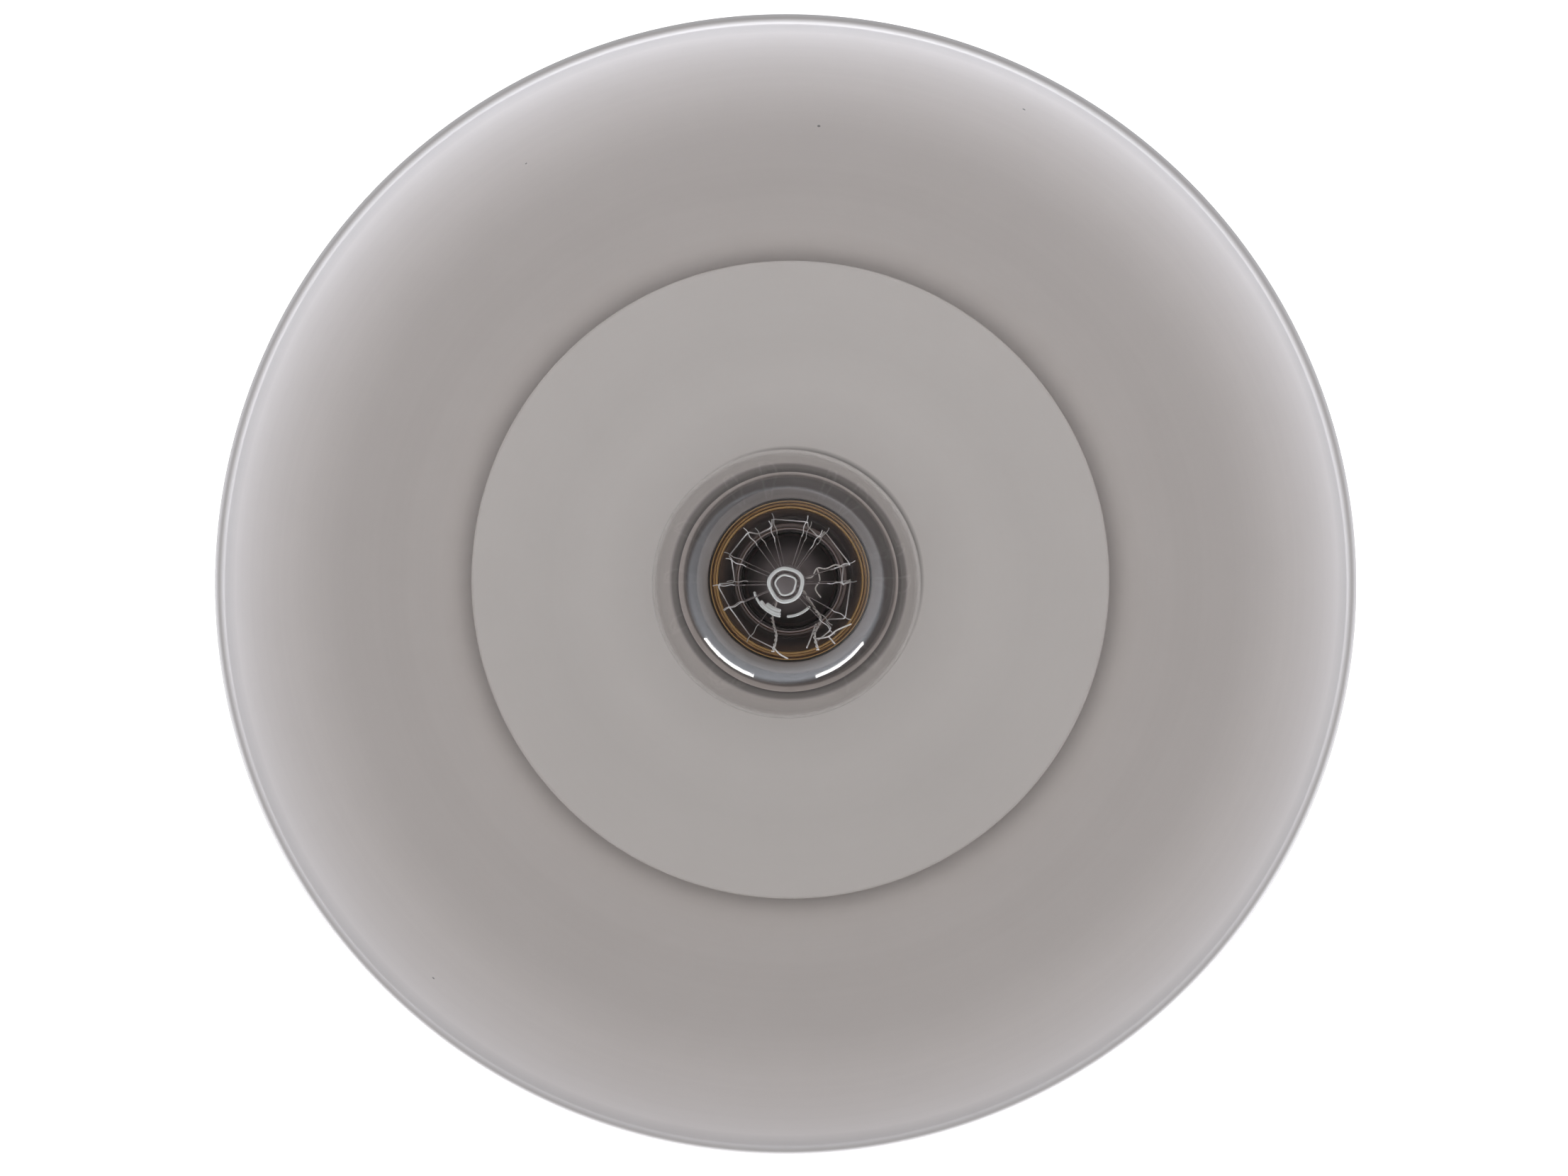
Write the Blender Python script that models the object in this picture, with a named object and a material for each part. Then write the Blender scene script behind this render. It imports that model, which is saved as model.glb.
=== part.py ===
"""Dome pendant lamp that hangs from its cord gland, with an E27 filament bulb inside a metal shade."""

import math

import bmesh
import bpy
from mathutils import Vector

MM = 0.001

# Heights below are millimetres above the plane of the shade's rim, and radii are millimetres.
# The world origin is the middle of the gland's top face, where the cord enters.
TOTAL_HEIGHT = 152.0
WALL = 1.0

SHADE_RADIUS = 125.0
SHADE_HEIGHT = 88.5
SHADE_POWER = 2.3
CROWN_RADIUS = 30.0
CROWN_HEIGHT = 87.0
CROWN_HOLE = 20.6
BEAD_RADIUS = 1.1

DISC_RADIUS = 74.3
DISC_HEIGHT = 66.3
DISC_THICKNESS = 1.2
DISC_HOLE = 20.4

RING_BORE = 19.45
RING_FLANGE = 27.2
RING_HUB = 22.3

HOLDER_RADIUS = 19.15
HOLDER_MOUTH = 60.0
HOLDER_LIP = 17.0

BULB_RADIUS = 30.0
BULB_EQUATOR = 13.0
GLASS_WALL = 0.7
CAP_RADIUS = 12.7
CAP_RIM = 61.0
CAP_TIP = 88.0

FILAMENT_LOW = 6.5
FILAMENT_HIGH = 40.5
FILAMENT_WIRE = 0.18
HOOK_BEND = 0.4
CENTRE_TRAVEL = 1.2

# Where the filament turns back, low and high by turns, as x and y in millimetres.
CAGE_TURNS = (
    (2.9, -14.0),
    (8.7, -12.5),
    (12.4, -5.2),
    (13.6, -5.8),
    (14.8, -0.3),
    (12.6, 0.1),
    (12.0, 5.2),
    (13.4, 6.2),
    (8.5, 11.3),
    (6.8, 11.1),
    (3.4, 12.6),
    (3.4, 14.3),
    (-4.4, 13.8),
    (-4.8, 12.4),
    (-7.2, 10.7),
    (-8.5, 11.2),
    (-13.9, 4.7),
    (-12.7, 3.7),
    (-12.5, 0.3),
    (-14.2, 0.1),
    (-13.0, -7.2),
    (-9.0, -8.9),
    (-9.7, -10.0),
    (-6.8, -13.5),
)


def clear_scene():
    for item in list(bpy.data.objects):
        bpy.data.objects.remove(item, do_unlink=True)


def up(height):
    """World height in metres of a height above the rim in millimetres."""
    return (height - TOTAL_HEIGHT) * MM


def finish(mesh_maker, name, colour, roughness, metallic, smooth=True):
    """Turns a bmesh into a named object with its own material, facing outwards."""
    bmesh.ops.remove_doubles(mesh_maker, verts=mesh_maker.verts, dist=1e-7)
    bmesh.ops.recalc_face_normals(mesh_maker, faces=mesh_maker.faces)
    if mesh_maker.calc_volume(signed=True) < 0:
        bmesh.ops.reverse_faces(mesh_maker, faces=mesh_maker.faces)
    data = bpy.data.meshes.new(name)
    mesh_maker.to_mesh(data)
    mesh_maker.free()
    for face in data.polygons:
        face.use_smooth = smooth
    item = bpy.data.objects.new(name, data)
    bpy.context.scene.collection.objects.link(item)
    material = bpy.data.materials.new(name)
    material.use_nodes = True
    shader = material.node_tree.nodes["Principled BSDF"]
    shader.inputs["Base Color"].default_value = (*colour, 1.0)
    shader.inputs["Roughness"].default_value = roughness
    shader.inputs["Metallic"].default_value = metallic
    data.materials.append(material)
    return item


def add_lathe(maker, profile, steps):
    """Turns (radius, height) points round Z. A chain off the axis is joined end to start."""
    rings = []
    for radius, height in profile:
        if radius < 1e-6:
            rings.append([maker.verts.new((0.0, 0.0, up(height)))])
            continue
        ring = []
        for step in range(steps):
            angle = 2.0 * math.pi * step / steps
            place = (radius * MM * math.cos(angle), radius * MM * math.sin(angle), up(height))
            ring.append(maker.verts.new(place))
        rings.append(ring)
    pairs = list(zip(rings, rings[1:]))
    if len(rings[0]) > 1 and len(rings[-1]) > 1:
        pairs.append((rings[-1], rings[0]))
    for first, second in pairs:
        for step in range(steps):
            after = (step + 1) % steps
            corners = [first[step % len(first)], first[after % len(first)]]
            corners += [second[after % len(second)], second[step % len(second)]]
            distinct = []
            for corner in corners:
                if corner not in distinct:
                    distinct.append(corner)
            if len(distinct) > 2:
                maker.faces.new(distinct)


def lathe(name, profile, steps, colour, roughness, metallic):
    maker = bmesh.new()
    add_lathe(maker, profile, steps)
    return finish(maker, name, colour, roughness, metallic)


def add_tube(maker, points, radius, sides):
    """A round bar along points in millimetres, with flat ends. Heights are above the rim."""
    path = [Vector((x * MM, y * MM, up(h))) for x, y, h in points]
    directions = []
    for index in range(len(path)):
        before = path[max(index - 1, 0)]
        after = path[min(index + 1, len(path) - 1)]
        directions.append((after - before).normalized())
    side = directions[0].orthogonal().normalized()
    rings = []
    for place, direction in zip(path, directions):
        side = (side - direction * side.dot(direction)).normalized()
        other = direction.cross(side)
        ring = []
        for step in range(sides):
            angle = 2.0 * math.pi * step / sides
            offset = side * math.cos(angle) + other * math.sin(angle)
            ring.append(maker.verts.new(place + offset * radius * MM))
        rings.append(ring)
    for first, second in zip(rings, rings[1:]):
        for step in range(sides):
            after = (step + 1) % sides
            maker.faces.new((first[step], first[after], second[after], second[step]))
    maker.faces.new(rings[0][::-1])
    maker.faces.new(rings[-1])


def tube(name, points, radius, sides, colour, roughness, metallic):
    maker = bmesh.new()
    add_tube(maker, points, radius, sides)
    return finish(maker, name, colour, roughness, metallic)


def add_box(maker, low, high):
    """An upright box between two corners in millimetres."""
    corners = []
    for x in (low[0], high[0]):
        for y in (low[1], high[1]):
            for h in (low[2], high[2]):
                corners.append(maker.verts.new((x * MM, y * MM, up(h))))
    for face in ((0, 1, 3, 2), (4, 6, 7, 5), (0, 4, 5, 1), (2, 3, 7, 6), (0, 2, 6, 4), (1, 5, 7, 3)):
        maker.faces.new([corners[index] for index in face])


def add_prism(maker, centre, across_flats, bottom, top):
    """A hexagonal prism, its axis upright."""
    radius = across_flats / math.sqrt(3.0)
    rings = []
    for height in (bottom, top):
        ring = []
        for step in range(6):
            angle = math.pi * step / 3.0
            x = centre[0] + radius * math.cos(angle)
            y = centre[1] + radius * math.sin(angle)
            ring.append(maker.verts.new((x * MM, y * MM, up(height))))
        rings.append(ring)
    for step in range(6):
        after = (step + 1) % 6
        maker.faces.new((rings[0][step], rings[0][after], rings[1][after], rings[1][step]))
    maker.faces.new(rings[0][::-1])
    maker.faces.new(rings[1])


def combine(item, other, operation):
    """Applies a Boolean with another object, which is then removed."""
    modifier = item.modifiers.new(operation.title(), "BOOLEAN")
    modifier.operation = operation
    modifier.solver = "EXACT"
    modifier.object = other
    bpy.context.view_layer.update()
    graph = bpy.context.evaluated_depsgraph_get()
    made = bpy.data.meshes.new_from_object(item.evaluated_get(graph))
    item.modifiers.clear()
    item.data = made
    bpy.data.objects.remove(other, do_unlink=True)


def cutter(maker):
    return finish(maker, "cutter", (0.5, 0.5, 0.5), 0.5, 0.0, False)


def drill(item, points, radius, sides=16):
    maker = bmesh.new()
    add_tube(maker, points, radius, sides)
    combine(item, cutter(maker), "DIFFERENCE")


def dome_radius(height):
    """Outer radius of the shade at a height above the rim."""
    share = 1.0 - (height / SHADE_HEIGHT) ** SHADE_POWER
    return SHADE_RADIUS * share ** (1.0 / SHADE_POWER)


def dome_height(radius):
    """Outer height of the shade at a radius."""
    share = 1.0 - (radius / SHADE_RADIUS) ** SHADE_POWER
    return SHADE_HEIGHT * share ** (1.0 / SHADE_POWER)


def inwards(points, distance):
    """Points moved towards the axis side of a chain that runs from the rim up to the crown."""
    moved = []
    for index, (radius, height) in enumerate(points):
        before = points[max(index - 1, 0)]
        after = points[min(index + 1, len(points) - 1)]
        along = (after[0] - before[0], after[1] - before[1])
        length = math.hypot(*along)
        moved.append((radius - along[1] / length * distance, height + along[0] / length * distance))
    return moved


def make_shade():
    """Spun dome with a flat crown, a round hole for the lampholder and a bead rolled at the rim."""
    outside = [(dome_radius(h), h) for h in (2.4, 9.0, 17.0, 25.0, 33.0, 41.0, 49.0)]
    outside += [(r, dome_height(r)) for r in (103.0, 94.0, 83.0, 70.0, 56.0, 42.0)]
    outside.append((CROWN_RADIUS, CROWN_HEIGHT))
    inside = inwards(outside, WALL)
    inside[-1] = (CROWN_RADIUS - 0.2, CROWN_HEIGHT - WALL)
    bead = []
    for degrees in (160.0, 205.0, 250.0, 295.0, 340.0, 385.0, 425.0):
        angle = math.radians(degrees)
        radius = SHADE_RADIUS - 0.1 + BEAD_RADIUS * math.cos(angle)
        bead.append((radius, BEAD_RADIUS + BEAD_RADIUS * math.sin(angle)))
    profile = outside + [(CROWN_HOLE, CROWN_HEIGHT), (CROWN_HOLE, CROWN_HEIGHT - WALL)]
    profile += inside[::-1] + bead
    lathe("shade_dome", profile, 60, (0.78, 0.76, 0.75), 0.4, 0.0)


def make_disc():
    """Flat reflector plate with a hem turned up at its edge."""
    low = DISC_HEIGHT
    high = low + DISC_THICKNESS
    outer = DISC_RADIUS
    profile = [
        (DISC_HOLE, low),
        (outer - 1.2, low),
        (outer - 0.35, low + 0.35),
        (outer, low + 1.2),
        (outer, low + 3.2),
        (outer - 1.0, low + 3.2),
        (outer - 1.0, high + 0.6),
        (outer - 1.6, high),
        (DISC_HOLE, high),
    ]
    lathe("reflector_disc", profile, 48, (0.8, 0.78, 0.77), 0.45, 0.0)


def make_rings():
    """The ring that clamps the disc, the sleeve above it, the crown's ring and the crown's gasket."""
    lower = [
        (RING_BORE, 60.4),
        (RING_BORE + 0.5, 60.1),
        (RING_HUB - 0.4, 60.1),
        (RING_HUB, 60.5),
        (RING_HUB, 64.0),
        (RING_FLANGE - 1.9, 64.0),
        (RING_FLANGE - 1.6, 62.9),
        (RING_FLANGE - 0.4, 62.9),
        (RING_FLANGE, 63.3),
        (RING_FLANGE, 66.0),
        (RING_BORE, 66.0),
    ]
    lathe("lower_shade_ring", lower, 40, (0.75, 0.73, 0.72), 0.45, 0.0)
    sleeve = [(19.6, 67.9), (22.5, 67.9), (22.5, 77.7), (19.6, 77.7)]
    lathe("spacer_sleeve", sleeve, 36, (0.75, 0.73, 0.72), 0.5, 0.0)
    upper = [
        (RING_BORE, 78.0),
        (22.3, 78.0),
        (22.3, 82.7),
        (28.0, 82.7),
        (28.0, 84.7),
        (RING_BORE, 84.7),
    ]
    lathe("upper_shade_ring", upper, 36, (0.75, 0.73, 0.72), 0.5, 0.0)
    gasket = [(20.6, 85.0), (28.5, 85.0), (28.5, 85.7), (20.6, 85.7)]
    lathe("crown_gasket", gasket, 36, (0.35, 0.22, 0.15), 0.9, 0.0)


def make_holder():
    """Brass lampholder: skirt with a shoulder, its cap, the porcelain block and the live parts on it."""
    skirt = [
        (HOLDER_LIP, HOLDER_MOUTH),
        (HOLDER_RADIUS - 0.4, HOLDER_MOUTH),
        (HOLDER_RADIUS, HOLDER_MOUTH + 0.4),
        (HOLDER_RADIUS, 87.3),
        (24.0, 87.3),
        (24.0, 89.3),
        (17.6, 89.3),
        (17.6, HOLDER_MOUTH + 1.0),
        (HOLDER_LIP, HOLDER_MOUTH + 0.6),
    ]
    lathe("holder_skirt", skirt, 40, (0.62, 0.44, 0.2), 0.3, 1.0)
    cap = [
        (21.0, 89.6),
        (21.0, 106.0),
        (17.0, 112.0),
        (5.2, 113.0),
        (5.2, 111.6),
        (16.2, 110.8),
        (19.8, 105.6),
        (19.8, 89.6),
    ]
    lathe("holder_cap", cap, 36, (0.62, 0.44, 0.2), 0.3, 1.0)
    block = [(3.7, 90.0), (17.2, 90.0), (17.2, 99.0), (1.5, 99.0), (1.5, 96.0), (3.7, 96.0)]
    porcelain = lathe("contact_block", block, 32, (0.85, 0.83, 0.78), 0.35, 0.0)
    notch = bmesh.new()
    add_box(notch, (-18.0, -2.6, 89.0), (-14.3, 2.6, 100.0))
    combine(porcelain, cutter(notch), "DIFFERENCE")
    shell = [
        (13.1, 63.5),
        (13.5, 63.5),
        (13.5, 89.6),
        (6.0, 89.6),
        (6.0, 89.2),
        (13.1, 89.2),
    ]
    lathe("screw_shell", shell, 36, (0.7, 0.68, 0.62), 0.3, 1.0)
    plunger = [(0.0, 88.3), (2.8, 88.3), (3.2, 88.6), (3.2, 89.8), (1.1, 89.8), (1.1, 99.6), (0.0, 99.6)]
    lathe("centre_contact", plunger, 20, (0.72, 0.5, 0.22), 0.3, 1.0)
    coil = []
    for step in range(61):
        angle = 2.0 * math.pi * step / 13.0
        height = 90.5 + 4.8 * step / 60.0
        coil.append((2.3 * math.cos(angle), 2.3 * math.sin(angle), height))
    tube("contact_spring", coil, 0.3, 6, (0.6, 0.6, 0.6), 0.3, 1.0)
    strap = bmesh.new()
    add_box(strap, (-15.3, -2.0, 89.9), (-14.7, 2.0, 99.8))
    item = finish(strap, "shell_strap", (0.72, 0.5, 0.22), 0.35, 1.0, False)
    foot = bmesh.new()
    add_box(foot, (-15.3, -2.0, 99.3), (-6.6, 2.0, 99.8))
    combine(item, cutter(foot), "UNION")
    for side, label in ((-1.0, "neutral"), (1.0, "live")):
        clamp = bmesh.new()
        add_box(clamp, (side * 9.5 - 3.0, -3.5, 100.1), (side * 9.5 + 3.0, 3.5, 105.1))
        clamp_item = finish(clamp, "terminal_clamp_" + label, (0.62, 0.44, 0.2), 0.3, 1.0, False)
        drill(clamp_item, ((side * 9.5, 0.0, 102.0), (side * 9.5, 0.0, 106.0)), 1.8)
        drill(clamp_item, ((side * 9.5, -5.0, 102.2), (side * 9.5, 5.0, 102.2)), 1.4)
        screw = bmesh.new()
        add_tube(screw, ((side * 9.5, 0.0, 103.9), (side * 9.5, 0.0, 105.9)), 1.4, 16)
        screw_item = finish(screw, "terminal_screw_" + label, (0.62, 0.6, 0.56), 0.3, 1.0)
        head = bmesh.new()
        add_tube(head, ((side * 9.5, 0.0, 105.4), (side * 9.5, 0.0, 107.0)), 2.6, 20)
        combine(screw_item, cutter(head), "UNION")
        slot = bmesh.new()
        add_box(slot, (side * 9.5 - 4.0, -0.35, 106.3), (side * 9.5 + 4.0, 0.35, 108.0))
        combine(screw_item, cutter(slot), "DIFFERENCE")


def make_top():
    """Threaded nipple, its lock nut, the cup that covers the holder, and the cord gland with its screw."""
    nipple = [(3.7, 108.8), (4.85, 108.8), (4.85, 141.0), (3.7, 141.0)]
    lathe("threaded_nipple", nipple, 28, (0.66, 0.64, 0.6), 0.35, 1.0)
    nut = bmesh.new()
    add_prism(nut, (0.0, 0.0), 14.0, 108.2, 111.0)
    nut_item = finish(nut, "lock_nut", (0.66, 0.64, 0.6), 0.35, 1.0, False)
    drill(nut_item, ((0.0, 0.0, 106.0), (0.0, 0.0, 113.0)), 5.15, 28)
    cup = [
        (29.0, 87.5),
        (29.0, 121.0),
        (28.2, 126.0),
        (25.6, 130.4),
        (21.0, 133.4),
        (14.0, 134.7),
        (5.2, 135.0),
        (5.2, 134.0),
        (13.8, 133.7),
        (20.5, 132.4),
        (24.8, 129.6),
        (27.2, 125.7),
        (28.0, 121.0),
        (28.0, 87.5),
    ]
    lathe("cover_cup", cup, 40, (0.78, 0.76, 0.75), 0.4, 0.0)
    gland = [
        (5.15, 135.3),
        (9.0, 135.3),
        (9.0, 151.2),
        (8.4, 152.0),
        (3.9, 152.0),
        (3.6, 151.6),
        (3.6, 141.5),
        (5.15, 141.4),
    ]
    gland_item = lathe("cord_gland", gland, 32, (0.78, 0.76, 0.75), 0.4, 0.0)
    drill(gland_item, ((2.0, 0.0, 147.0), (12.0, 0.0, 147.0)), 1.8)
    screw = bmesh.new()
    add_tube(screw, ((4.0, 0.0, 147.0), (8.9, 0.0, 147.0)), 1.5, 16)
    screw_item = finish(screw, "gland_screw", (0.66, 0.64, 0.6), 0.35, 1.0)
    slot = bmesh.new()
    add_box(slot, (8.2, -2.0, 146.7), (10.0, 2.0, 147.3))
    combine(screw_item, cutter(slot), "DIFFERENCE")


def make_bulb():
    """Clear glass bulb open at its neck, its E27 cap in three pieces, and the glass stem with its button."""
    outside = [(0.0, BULB_EQUATOR - BULB_RADIUS)]
    for degrees in (-80, -70, -60, -50, -40, -30, -20, -10, 0, 10, 20, 30):
        angle = math.radians(degrees)
        outside.append((BULB_RADIUS * math.cos(angle), BULB_EQUATOR + BULB_RADIUS * math.sin(angle)))
    outside += [(22.6, 33.6), (19.6, 39.0), (17.2, 44.2), (15.4, 49.2), (14.1, 54.0), (13.3, 57.6)]
    outside += [(12.9, 59.6), (12.0, 60.8), (11.7, 62.0), (11.6, 74.0)]
    inside = inwards(outside, GLASS_WALL)
    inside[0] = (0.0, outside[0][1] + GLASS_WALL)
    inside[-1] = (outside[-1][0] - GLASS_WALL, outside[-1][1])
    lathe("bulb_envelope", outside + inside[::-1], 32, (0.9, 0.92, 0.92), 0.05, 0.0)
    shell = [
        (CAP_RADIUS - 0.4, CAP_RIM),
        (CAP_RADIUS + 0.1, CAP_RIM),
        (CAP_RADIUS, CAP_RIM + 1.0),
        (CAP_RADIUS, 79.5),
        (8.2, 82.0),
        (8.2, 81.4),
        (CAP_RADIUS - 0.5, 79.0),
        (CAP_RADIUS - 0.4, CAP_RIM + 1.0),
    ]
    lathe("bulb_cap_shell", shell, 36, (0.62, 0.44, 0.2), 0.3, 1.0)
    insulator = [(1.0, 80.8), (7.9, 80.8), (7.9, 82.6), (4.8, 86.4), (1.0, 86.4)]
    lathe("bulb_cap_insulator", insulator, 24, (0.02, 0.02, 0.02), 0.2, 0.0)
    tip = [(0.0, 86.7), (4.4, 86.7), (4.2, 87.3), (2.6, 87.8), (0.0, CAP_TIP)]
    lathe("bulb_tip_contact", tip, 24, (0.6, 0.6, 0.58), 0.35, 1.0)
    stem = [
        (0.0, 6.1),
        (2.0, 6.1),
        (2.0, 50.0),
        (3.4, 52.0),
        (3.4, 56.0),
        (5.0, 61.0),
        (8.0, 66.5),
        (10.4, 72.0),
        (9.7, 72.0),
        (7.3, 66.8),
        (4.2, 61.3),
        (1.6, 57.0),
        (0.0, 57.0),
    ]
    lathe("bulb_stem", stem, 20, (0.9, 0.92, 0.92), 0.05, 0.0)
    button = [(0.0, 2.6), (1.6, 2.6), (2.4, 3.2), (3.2, 2.9), (4.0, 3.9), (3.6, 5.2), (2.2, 5.8), (0.0, 5.8)]
    lathe("bulb_button", button, 24, (0.9, 0.92, 0.92), 0.05, 0.0)


def make_filament():
    """One wire that zigzags between the low and the high turns of the cage."""
    points = []
    last = len(CAGE_TURNS) - 1
    for index, (x, y) in enumerate(CAGE_TURNS):
        before = CAGE_TURNS[max(index - 1, 0)]
        after = CAGE_TURNS[min(index + 1, last)]
        along = Vector((after[0] - before[0], after[1] - before[1])).normalized() * HOOK_BEND
        low = index % 2 == 0
        height = FILAMENT_LOW if low else FILAMENT_HIGH
        outward = -HOOK_BEND if low else HOOK_BEND
        if index == 0 or index == last:
            points.append((x, y, height))
            continue
        for degrees in (180, 135, 90, 45, 0):
            share = math.cos(math.radians(degrees))
            rise = outward * math.sin(math.radians(degrees))
            points.append((x + along.x * share, y + along.y * share, height + rise))
    tube("filament", points, FILAMENT_WIRE, 5, (0.1, 0.09, 0.09), 0.6, 0.3)


def make_supports():
    """Two wire wheels on the stem. Each spoke ends just inside a turn of the filament."""
    for name, height, first, bore in (
        ("lower_supports", FILAMENT_LOW + 2.0, 2, 2.4),
        ("upper_supports", FILAMENT_HIGH - 2.0, 1, 2.4),
    ):
        hub = [(bore, height), (bore + 0.9, height), (bore + 0.9, height + 0.8), (bore, height + 0.8)]
        item = lathe(name, hub, 20, (0.45, 0.43, 0.4), 0.4, 1.0)
        spokes = bmesh.new()
        middle = height + 0.4
        for x, y in CAGE_TURNS[first:-1:2]:
            reach = math.hypot(x, y)
            start = (bore + 0.5) / reach
            end = (reach - 1.1) / reach
            add_tube(spokes, ((x * start, y * start, middle), (x * end, y * end, middle)), 0.16, 5)
        combine(item, cutter(spokes), "UNION")


def make_leads():
    """Two stiff wires from the stem's pinch to the ends of the filament."""
    low = FILAMENT_LOW - 1.0
    first = [(2.4, -2.9, 49.0), (2.7, -5.2, 42.0), (3.2, -8.8, 34.0), (1.6, -12.6, 16.0), (2.9, -14.8, low)]
    tube("lead_wire_a", first, 0.3, 6, (0.72, 0.7, 0.66), 0.3, 1.0)
    second = [(-3.2, -2.2, 49.0), (-5.6, -4.3, 42.0), (-6.6, -7.0, 34.0), (-6.0, -11.2, 16.0)]
    second.append((-7.0, -14.4, low))
    tube("lead_wire_b", second, 0.3, 6, (0.72, 0.7, 0.66), 0.3, 1.0)


clear_scene()
make_shade()
make_disc()
make_rings()
make_holder()
make_top()
make_bulb()
make_filament()
make_supports()
make_leads()
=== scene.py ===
import math

import bmesh
import bpy
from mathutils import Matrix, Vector


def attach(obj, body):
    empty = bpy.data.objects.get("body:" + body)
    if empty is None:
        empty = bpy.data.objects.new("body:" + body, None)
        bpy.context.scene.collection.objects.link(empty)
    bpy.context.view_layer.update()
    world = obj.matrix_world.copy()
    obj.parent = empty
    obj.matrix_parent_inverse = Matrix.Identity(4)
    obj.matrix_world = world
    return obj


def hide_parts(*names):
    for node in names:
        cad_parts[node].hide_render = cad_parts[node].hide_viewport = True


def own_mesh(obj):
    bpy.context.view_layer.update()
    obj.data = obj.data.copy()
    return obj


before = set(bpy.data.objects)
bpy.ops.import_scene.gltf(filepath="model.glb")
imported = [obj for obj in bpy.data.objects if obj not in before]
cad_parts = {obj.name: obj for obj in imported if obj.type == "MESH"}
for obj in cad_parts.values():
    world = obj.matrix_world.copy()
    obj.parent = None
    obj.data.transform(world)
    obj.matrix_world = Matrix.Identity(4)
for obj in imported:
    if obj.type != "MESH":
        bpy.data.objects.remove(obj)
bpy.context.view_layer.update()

# -----------------------------------------------------------------------------------------------------------
# Shade: a dome spun from thin steel sheet, with a flat crown that the lampholder passes through and a rim
# rolled outwards into a bead. It is painted white inside and out, and the faint turning lines of spun metal
# show through the paint.
# -----------------------------------------------------------------------------------------------------------

MM = 0.001
TOTAL_HEIGHT = 152.0  # from the rim up to the top face of the cord gland, in millimetres
SHADE_RADIUS = 125.0
SHADE_HEIGHT = 88.5
SHADE_POWER = 2.3  # of the dome's section, a superellipse: 2 would be an ellipse
CROWN_RADIUS = 30.0
CROWN_HEIGHT = 87.0
CROWN_HOLE = 20.6
WALL = 1.0
BEAD_RADIUS = 1.1
TINY = 1e-6


def up(height):
    """World height in metres of a height above the rim in millimetres."""
    return (height - TOTAL_HEIGHT) * MM


def rounded(profile, radius, steps=4):
    """The same closed profile with every corner off the axis turned into a small curve."""
    result = []
    count = len(profile)
    for index, point in enumerate(profile):
        here = Vector(point)
        before = Vector(profile[index - 1])
        after = Vector(profile[(index + 1) % count])
        into = here - before
        away = after - here
        if point[0] < TINY or into.length < TINY or away.length < TINY or into.angle(away) < 0.1:
            result.append(tuple(point))
            continue
        reach = min(radius, 0.42 * into.length, 0.42 * away.length)
        first = here - into.normalized() * reach
        last = here + away.normalized() * reach
        for step in range(steps + 1):
            share = step / steps
            spot = first * (1 - share) ** 2 + here * 2 * share * (1 - share) + last * share ** 2
            result.append((spot.x, spot.y))
    return result


def smooth_chain(points, steps=6):
    """A Catmull-Rom curve through the points of an open chain."""
    chain = [Vector(point) for point in points]
    result = []
    for index in range(len(chain) - 1):
        a = chain[max(index - 1, 0)]
        b = chain[index]
        c = chain[index + 1]
        d = chain[min(index + 2, len(chain) - 1)]
        for step in range(steps):
            t = step / steps
            squared = (2 * a - 5 * b + 4 * c - d) * t ** 2
            cubed = (3 * b - 3 * c + d - a) * t ** 3
            result.append(tuple(0.5 * (2 * b + (c - a) * t + squared + cubed)))
    result.append(tuple(chain[-1]))
    return result


def inwards(points, distance):
    """A chain moved towards the axis side, when it runs from the rim end up to the crown end."""
    moved = []
    for index, (radius, height) in enumerate(points):
        before = points[max(index - 1, 0)]
        after = points[min(index + 1, len(points) - 1)]
        along = Vector((after[0] - before[0], after[1] - before[1])).normalized()
        moved.append((max(radius - along.y * distance, 0.0), height + along.x * distance))
    return moved


def add_lathe(maker, profile, steps, ripple=None):
    """Turns a profile round Z. A ripple gives each point a change of radius that depends on its angle."""
    rings = []
    for index, (radius, height) in enumerate(profile):
        if radius < TINY:
            rings.append([maker.verts.new((0.0, 0.0, up(height)))])
            continue
        ring = []
        for step in range(steps):
            angle = 2 * math.pi * step / steps
            there = radius + (ripple(index, height, angle) if ripple else 0.0)
            x = there * MM * math.cos(angle)
            y = there * MM * math.sin(angle)
            ring.append(maker.verts.new((x, y, up(height))))
        rings.append(ring)
    pairs = list(zip(rings, rings[1:]))
    if len(rings[0]) > 1 and len(rings[-1]) > 1:
        pairs.append((rings[-1], rings[0]))
    for first, second in pairs:
        if len(first) == 1 and len(second) == 1:
            continue
        for step in range(steps):
            after = (step + 1) % steps
            corners = [first[step % len(first)], first[after % len(first)]]
            corners += [second[after % len(second)], second[step % len(second)]]
            distinct = list(dict.fromkeys(corners))
            if len(distinct) > 2:
                maker.faces.new(distinct)


def add_tube(maker, points, radius, sides=10):
    """A round wire along points in millimetres, its ends closed with a small dome."""
    path = [Vector((x * MM, y * MM, up(h))) for x, y, h in points]
    directions = []
    for index in range(len(path)):
        before = path[max(index - 1, 0)]
        after = path[min(index + 1, len(path) - 1)]
        directions.append((after - before).normalized())
    side = directions[0].orthogonal().normalized()
    rings = []
    for place, direction in zip(path, directions):
        side = (side - direction * side.dot(direction)).normalized()
        other = direction.cross(side)
        ring = []
        for step in range(sides):
            angle = 2 * math.pi * step / sides
            offset = side * math.cos(angle) + other * math.sin(angle)
            ring.append(maker.verts.new(place + offset * radius * MM))
        rings.append(ring)
    for first, second in zip(rings, rings[1:]):
        for step in range(sides):
            after = (step + 1) % sides
            maker.faces.new((first[step], first[after], second[after], second[step]))
    for end, outward in ((0, -1), (-1, 1)):
        ring = rings[end]
        top = maker.verts.new(path[end] + outward * directions[end] * radius * MM * 0.6)
        for step in range(sides):
            after = (step + 1) % sides
            maker.faces.new((ring[step], ring[after], top))


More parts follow.
